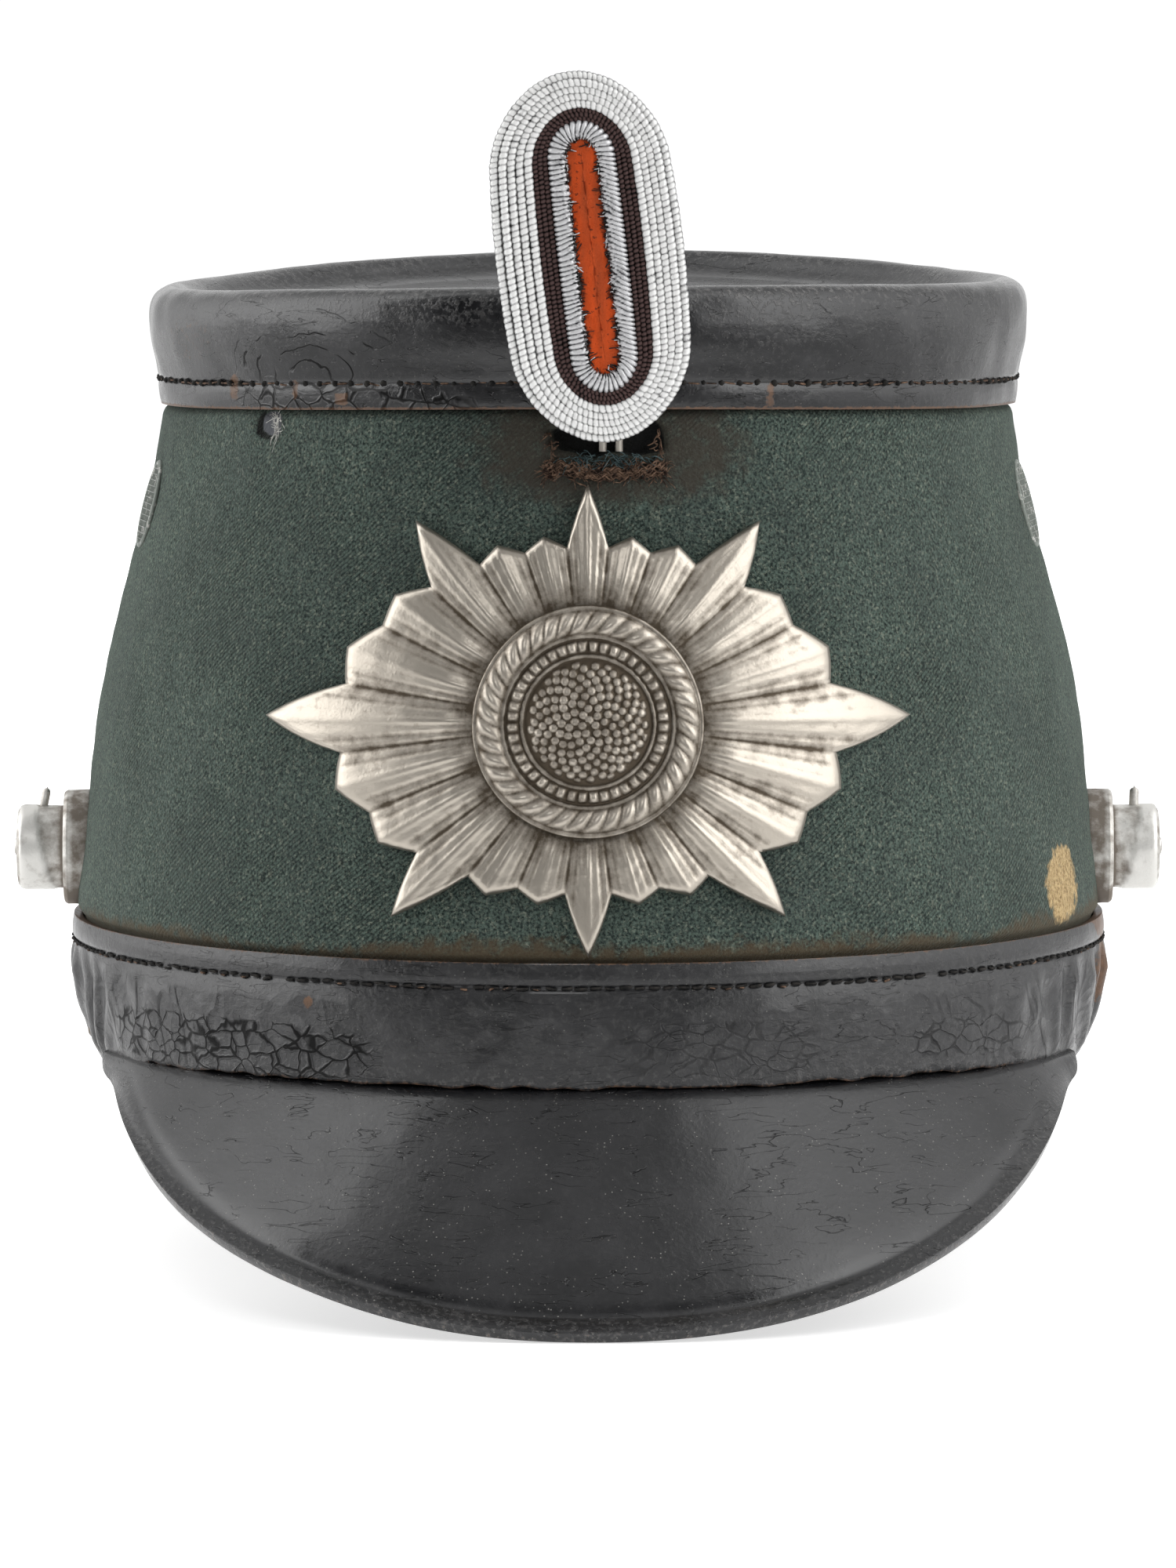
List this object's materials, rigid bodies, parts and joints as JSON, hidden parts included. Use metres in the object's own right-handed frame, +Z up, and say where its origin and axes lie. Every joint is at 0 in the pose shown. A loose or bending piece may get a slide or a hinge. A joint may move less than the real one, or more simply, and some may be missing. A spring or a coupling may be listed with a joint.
{
  "type": "shako hat",
  "caption": "Cloth-covered shako with a leather crown, base band, front and rear peak, cord cockade, rayed front plate and strap posts.",
  "frame": {"origin": "on the floor that the peaks stand on, under the middle of the whole shako", "axes": "+Z up, the front of the shako faces -Y, +X towards the wearer's left"},
  "size_m": [0.1934, 0.2656, 0.1982],
  "materials": {
    "cloth": "dark blue-green woollen cloth, worn and matt",
    "leather": "black lacquered leather, scuffed and finely cracked",
    "nickel": "nickel-silver with an old grey-brown patina",
    "silver_cord": "pale silver wire cord",
    "dark_cord": "dark brown cord",
    "orange_felt": "orange-red felt",
    "core_leather": "brown leather backing with a raw edge",
    "vent_paint": "dull grey-green painted metal"
  },
  "bodies": {
    "root": {"body": "cloth", "crown": "leather", "base_band": "leather", "front_peak": "leather", "rear_peak": "leather", "cockade_clip": "nickel", "cockade_core": "core_leather", "cockade_pale_cord": "silver_cord", "cockade_dark_cord": "dark_cord", "cockade_coil": "silver_cord", "cockade_pad": "orange_felt", "badge_star": "nickel", "badge_boss": "nickel", "side_post_left": "nickel", "side_post_right": "nickel", "side_vent_left": "vent_paint", "side_vent_right": "vent_paint"}
  },
  "joints": []
}
